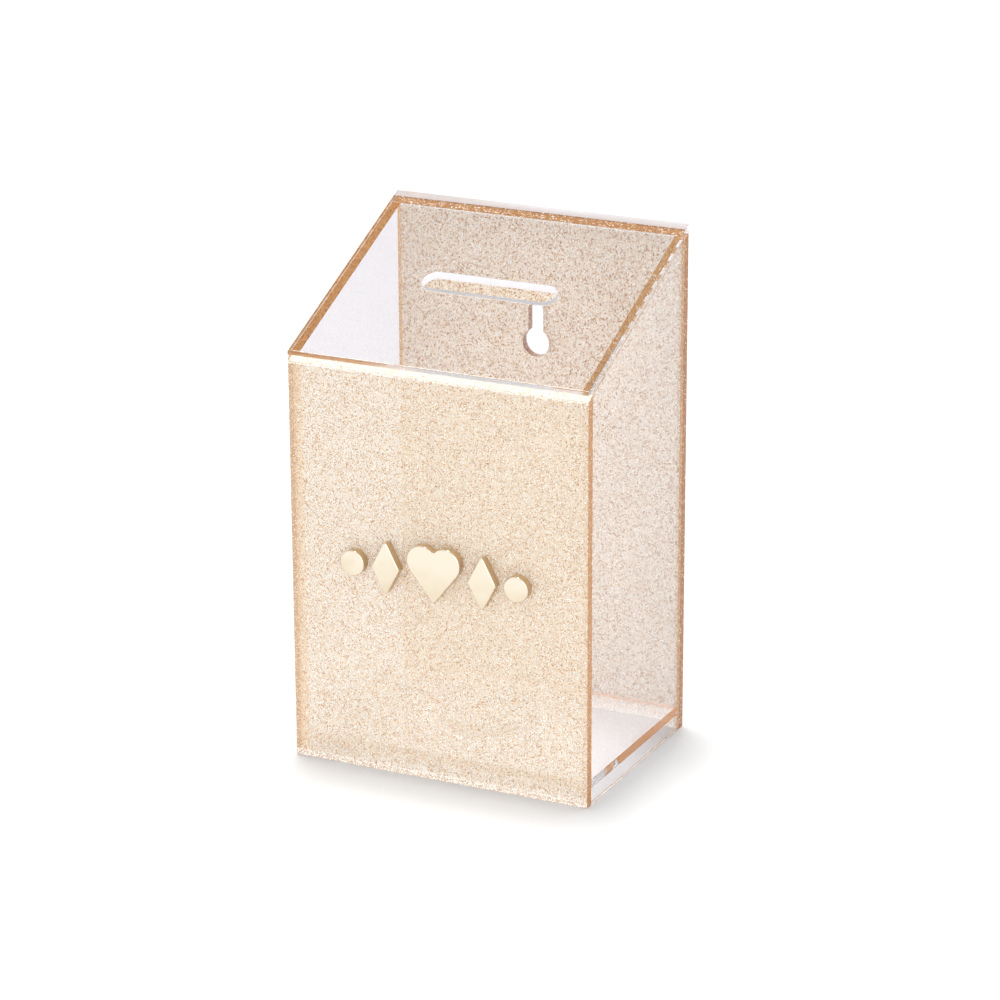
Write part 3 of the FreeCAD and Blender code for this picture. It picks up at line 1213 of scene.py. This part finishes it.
def make_world(stage):
    """White surround that is brighter to the eye than to the box."""
    world = bpy.data.worlds.new("surround")
    world.use_nodes = True
    tree = world.node_tree
    background = tree.nodes["Background"]
    background.inputs["Color"].default_value = (*WHITE, 1.0)
    rays = add_node(tree, "ShaderNodeLightPath")
    seen = math_node(tree, "MAXIMUM", rays.outputs["Is Camera Ray"], rays.outputs["Is Glossy Ray"])
    seen = math_node(tree, "MAXIMUM", seen, rays.outputs["Is Transmission Ray"])
    strength = math_node(tree, "MULTIPLY_ADD", seen, 1.0 - stage.world_light, stage.world_light)
    tree.links.new(strength, background.inputs["Strength"])
    bpy.context.scene.world = world


def make_sun(stage):
    """Broad soft light from above, a little behind and to the left."""
    lamp = bpy.data.lights.new("top_light", "SUN")
    lamp.energy = stage.sun_strength
    lamp.angle = stage.sun_spread
    add_object("top_light", lamp).rotation_euler = stage.sun_turn


def make_fill(stage):
    """Soft square lamp in front, which faces the middle of the box."""
    lamp = bpy.data.lights.new("fill_light", "AREA")
    lamp.size = stage.fill_size
    lamp.energy = stage.fill_power
    light = add_object("fill_light", lamp)
    light.location = stage.fill_place
    aim = Vector((0, 0, CAD_BOX[1][2] / 2)) - light.location
    light.rotation_euler = aim.to_track_quat("-Z", "Y").to_euler()


def make_camera(stage):
    """Camera at the viewing angle of the box's picture."""
    turn, tilt, roll = stage.camera_turn, stage.camera_tilt, stage.camera_roll
    back = Vector((math.sin(turn) * math.cos(tilt), -math.cos(turn) * math.cos(tilt), math.sin(tilt)))
    right = Vector((math.cos(turn), math.sin(turn), 0))
    up = back.cross(right)
    leaned_right = right * math.cos(roll) + up * math.sin(roll)
    leaned_up = up * math.cos(roll) - right * math.sin(roll)
    data = bpy.data.cameras.new("camera")
    data.lens = stage.lens
    data.sensor_width = 36.0
    data.clip_start = 0.01
    camera = add_object("camera", data)
    turned = Matrix((leaned_right, leaned_up, back)).transposed().to_4x4()
    camera.matrix_world = Matrix.Translation(stage.camera_place) @ turned
    bpy.context.scene.camera = camera


# Operators


class DONATION_OT_glitter_sheets(bpy.types.Operator):
    """Finish the glitter front and back"""

    bl_idname = "donation.glitter_sheets"
    bl_label = "Glitter sheets"

    def execute(self, context):
        glitter = settings().glitter
        front = glitter_material(
            "front_glitter",
            ground=glitter.ground,
            cut_edge=glitter.cut_edge,
            shares=FRONT_SHARES,
            density=1.0,
            clear_share=glitter.clear_share,
            glow=glitter.front_glow,
            glow_reach=glitter.front_glow_reach,
        )
        back = glitter_material(
            "back_glitter",
            ground=glitter.back_ground,
            cut_edge=glitter.back_cut_edge,
            shares=BACK_SHARES,
            density=glitter.back_density,
            clear_share=glitter.back_clear_share,
            glow=glitter.back_glow,
            glow_reach=glitter.back_glow_reach,
        )
        dress("front_panel", front, glitter.edge_round)
        dress("back_panel", back, glitter.edge_round)
        return {"FINISHED"}


class DONATION_OT_clear_sheets(bpy.types.Operator):
    """Make the clear sides, lid and base"""

    bl_idname = "donation.clear_sheets"
    bl_label = "Clear sheets"

    def execute(self, context):
        materials = sheet_materials()
        clear_side("left_side_panel", materials)
        clear_side("right_side_panel", materials)
        clear_lid(materials)
        clear_base(materials)
        return {"FINISHED"}


class DONATION_OT_ornaments(bpy.types.Operator):
    """Finish the gold ornaments"""

    bl_idname = "donation.ornaments"
    bl_label = "Ornaments"

    def execute(self, context):
        gold = gold_material()
        for node in ORNAMENTS:
            dress(node, gold, settings().ornament.edge_round)
        return {"FINISHED"}


class DONATION_OT_stopper(bpy.types.Operator):
    """Make the soft stopper"""

    bl_idname = "donation.stopper"
    bl_label = "Stopper"

    def execute(self, context):
        soft_stopper()
        return {"FINISHED"}


class DONATION_OT_stage(bpy.types.Operator):
    """Set the floor, the light and the camera"""

    bl_idname = "donation.stage"
    bl_label = "Stage"

    def execute(self, context):
        stage = settings().stage
        make_floor(stage)
        make_world(stage)
        make_sun(stage)
        make_fill(stage)
        make_camera(stage)
        scene = context.scene
        scene.view_settings.view_transform = "Standard"
        scene.cycles.max_bounces = 32
        scene.cycles.glossy_bounces = 24
        scene.cycles.transmission_bounces = 32
        scene.cycles.transparent_max_bounces = 48
        return {"FINISHED"}


class DONATION_PT_panel(bpy.types.Panel):
    """Lists the steps that dress the box"""

    bl_label = "Donation box"
    bl_idname = "DONATION_PT_panel"
    bl_space_type = "VIEW_3D"
    bl_region_type = "UI"
    bl_category = "Donation box"

    def draw(self, context):
        for operator in OPERATORS:
            self.layout.operator(operator.bl_idname)


OPERATORS = (
    DONATION_OT_glitter_sheets,
    DONATION_OT_clear_sheets,
    DONATION_OT_ornaments,
    DONATION_OT_stopper,
    DONATION_OT_stage,
)

CLASSES = (
    GlitterSettings,
    ClearSettings,
    OrnamentSettings,
    StopperSettings,
    StageSettings,
    DonationBoxSettings,
    *OPERATORS,
    DONATION_PT_panel,
)


def register():
    for cls in CLASSES:
        bpy.utils.register_class(cls)
    bpy.types.Scene.donation_box = PointerProperty(type=DonationBoxSettings)


def unregister():
    del bpy.types.Scene.donation_box
    for cls in reversed(CLASSES):
        bpy.utils.unregister_class(cls)


def main():
    """Dresses the box."""
    register()
    bpy.ops.donation.glitter_sheets()
    bpy.ops.donation.clear_sheets()
    bpy.ops.donation.ornaments()
    bpy.ops.donation.stopper()
    bpy.ops.donation.stage()


if __name__ == "__main__":
    main()
